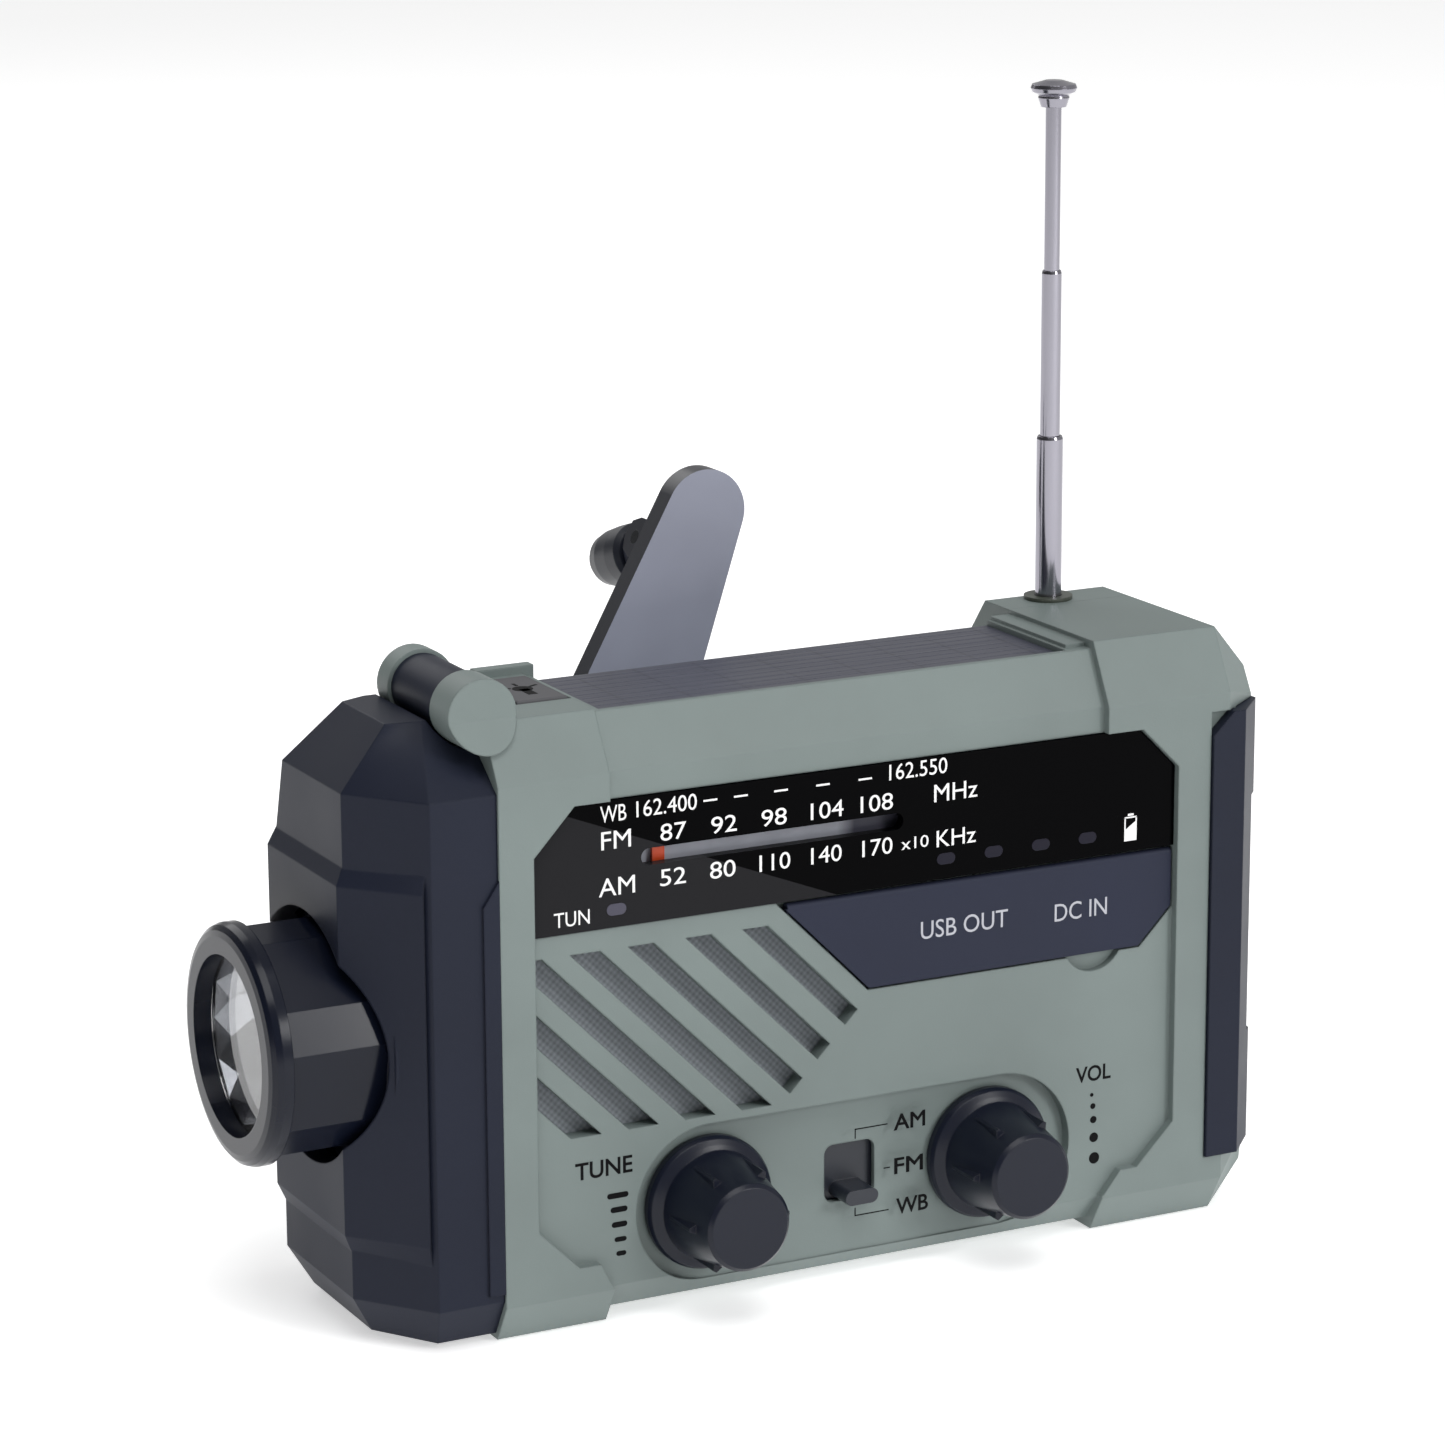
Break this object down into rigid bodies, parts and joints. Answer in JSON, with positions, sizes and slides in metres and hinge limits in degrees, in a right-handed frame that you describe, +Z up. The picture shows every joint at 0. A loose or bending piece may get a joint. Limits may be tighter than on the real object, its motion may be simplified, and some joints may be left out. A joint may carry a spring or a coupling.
{
  "type": "emergency radio",
  "caption": "Hand-crank emergency radio with solar panel, torch, analogue dial, covered charging sockets and telescopic antenna.",
  "frame": {"origin": "middle of the base plane, under the centre of the case", "axes": "+X to the right seen from the front, front facing -Y, +Z up along the antenna"},
  "size_m": [0.1412, 0.0768, 0.1508],
  "materials": {
    "case_green": "fine matt texture",
    "case_dark": "satin",
    "knob_dark": "satin",
    "torch_dark": "semi-gloss",
    "window_black": "polished",
    "pointer_orange": "satin",
    "dial_grey": "satin",
    "cover_rubber": "matt",
    "button_grey": "matt",
    "indicator_smoke": "polished",
    "chrome_tube": "polished",
    "steel": "satin",
    "clear_lens": "clear, polished",
    "reflector_silver": "vacuum-metallised",
    "led_body": "clear",
    "board_green": "solder mask",
    "solar_blue": "cells under resin",
    "solar_resin": "satin resin",
    "speaker_cloth": "woven",
    "paper_cone": "felted paper",
    "magnet_black": "plated",
    "socket_steel": "plated",
    "cell_wrap": "shrink sleeve",
    "gear_white": "moulded",
    "brass_gear": "machined",
    "can_steel": "zinc plated",
    "ferrite": "ground",
    "switch_black": "moulded"
  },
  "bodies": {
    "case": {"front_shell": "case_green", "rear_shell": "case_green", "torch_housing": "case_dark", "bumper_strip": "case_dark", "strap_bar": "case_dark", "display_window": "window_black", "dial_plate": "dial_grey", "pointer_rail": "steel", "indicator_lights": "indicator_smoke", "grille_screen": "speaker_cloth", "speaker_basket": "can_steel", "speaker_cone": "paper_cone", "speaker_magnet": "magnet_black", "main_board": "board_green", "board_screws": "steel", "usb_socket": "socket_steel", "dc_socket": "socket_steel", "tuning_capacitor": "switch_black", "volume_pot": "can_steel", "band_switch": "can_steel", "lamp_switch": "switch_black", "torch_barrel": "torch_dark", "torch_lens": "clear_lens", "torch_reflector": "reflector_silver", "torch_led": "led_body", "led_board": "board_green", "solar_cell": "solar_blue", "solar_cover": "solar_resin", "battery_cell": "cell_wrap", "battery_cradle": "switch_black", "ferrite_rod": "ferrite", "antenna_sleeve": "chrome_tube", "antenna_collar": "case_dark", "idler_axle": "steel", "dynamo": "can_steel", "gearbox_plate": "can_steel", "gearbox_screws": "steel", "case_screws": "steel"},
    "tuning": {"tune_knob": "knob_dark", "tune_shaft": "steel"},
    "volume": {"volume_knob": "knob_dark", "volume_shaft": "steel"},
    "pointer": {"dial_pointer": "pointer_orange"},
    "lever": {"band_lever": "switch_black"},
    "button": {"lamp_button": "button_grey"},
    "cover": {"port_cover": "cover_rubber"},
    "antenna_base": {"antenna_lower": "chrome_tube"},
    "antenna_mid": {"antenna_middle": "chrome_tube"},
    "antenna_end": {"antenna_upper": "chrome_tube", "antenna_tip": "chrome_tube"},
    "crank": {"crank_arm": "case_dark", "crank_shaft": "steel", "crank_gear": "gear_white", "crank_screw": "steel", "fold_pin": "steel"},
    "knob_fork": {"crank_clevis": "case_dark"},
    "knob_grip": {"crank_knob": "knob_dark"},
    "idler": {"idler_gear": "gear_white"},
    "rotor": {"dynamo_pinion": "brass_gear"}
  },
  "joints": [
    {"name": "tune_turn", "type": "hinge", "parent": "case", "child": "tuning", "pos_m": [-0.0181, -0.02, 0.0139], "axis": [0, 1, 0], "range_deg": [-25, 265]},
    {"name": "volume_turn", "type": "hinge", "parent": "case", "child": "volume", "pos_m": [0.0231, -0.02, 0.0139], "axis": [0, 1, 0], "range_deg": [0, 290]},
    {"name": "pointer_slide", "type": "slide", "parent": "case", "child": "pointer", "axis": [1, 0, 0], "range_m": [-0.0031, 0.0321]},
    {"name": "band_slide", "type": "slide", "parent": "case", "child": "lever", "axis": [0, 0, 1], "range_m": [0, 0.0042]},
    {"name": "lamp_press", "type": "slide", "parent": "case", "child": "button", "axis": [0, 0, -1], "range_m": [0, 0.0008], "stiffness_N_per_m": 200, "springref_m": -0.0002},
    {"name": "cover_open", "type": "hinge", "parent": "case", "child": "cover", "pos_m": [0.021, -0.0195, 0.0514], "axis": [-1, 0, 0], "range_deg": [0, 90]},
    {"name": "antenna_lower_slide", "type": "slide", "parent": "case", "child": "antenna_base", "axis": [0, 0, -1], "range_m": [0, 0.0224]},
    {"name": "antenna_middle_slide", "type": "slide", "parent": "antenna_base", "child": "antenna_mid", "axis": [0, 0, -1], "range_m": [0, 0.0224]},
    {"name": "antenna_upper_slide", "type": "slide", "parent": "antenna_mid", "child": "antenna_end", "axis": [0, 0, -1], "range_m": [0, 0.0215]},
    {"name": "crank_turn", "type": "hinge", "parent": "case", "child": "crank", "pos_m": [-0.0135, 0.02, 0.0547], "axis": [0, 1, 0], "continuous": true},
    {"name": "knob_fold", "type": "hinge", "parent": "crank", "child": "knob_fork", "pos_m": [0.001, 0.0309, 0.0882], "axis": [0.9178, 0, -0.3971], "range_deg": [-64, 18.6]},
    {"name": "knob_spin", "type": "hinge", "parent": "knob_fork", "child": "knob_grip", "pos_m": [0.001, 0.0309, 0.0882], "axis": [-0.1267, 0.9478, -0.2927], "continuous": true},
    {"name": "idler_turn", "type": "hinge", "parent": "case", "child": "idler", "pos_m": [-0.00045, 0.009, 0.04861], "axis": [0, 1, 0], "continuous": true},
    {"name": "rotor_turn", "type": "hinge", "parent": "case", "child": "rotor", "pos_m": [0.0123, 0.008, 0.0452], "axis": [0, 1, 0], "continuous": true}
  ],
  "couplings": [
    {"joint": "pointer_slide", "follows": "tune_turn", "m_per_rad": 0.006915},
    {"joint": "idler_turn", "follows": "crank_turn", "ratio": -3},
    {"joint": "rotor_turn", "follows": "crank_turn", "ratio": 8}
  ]
}
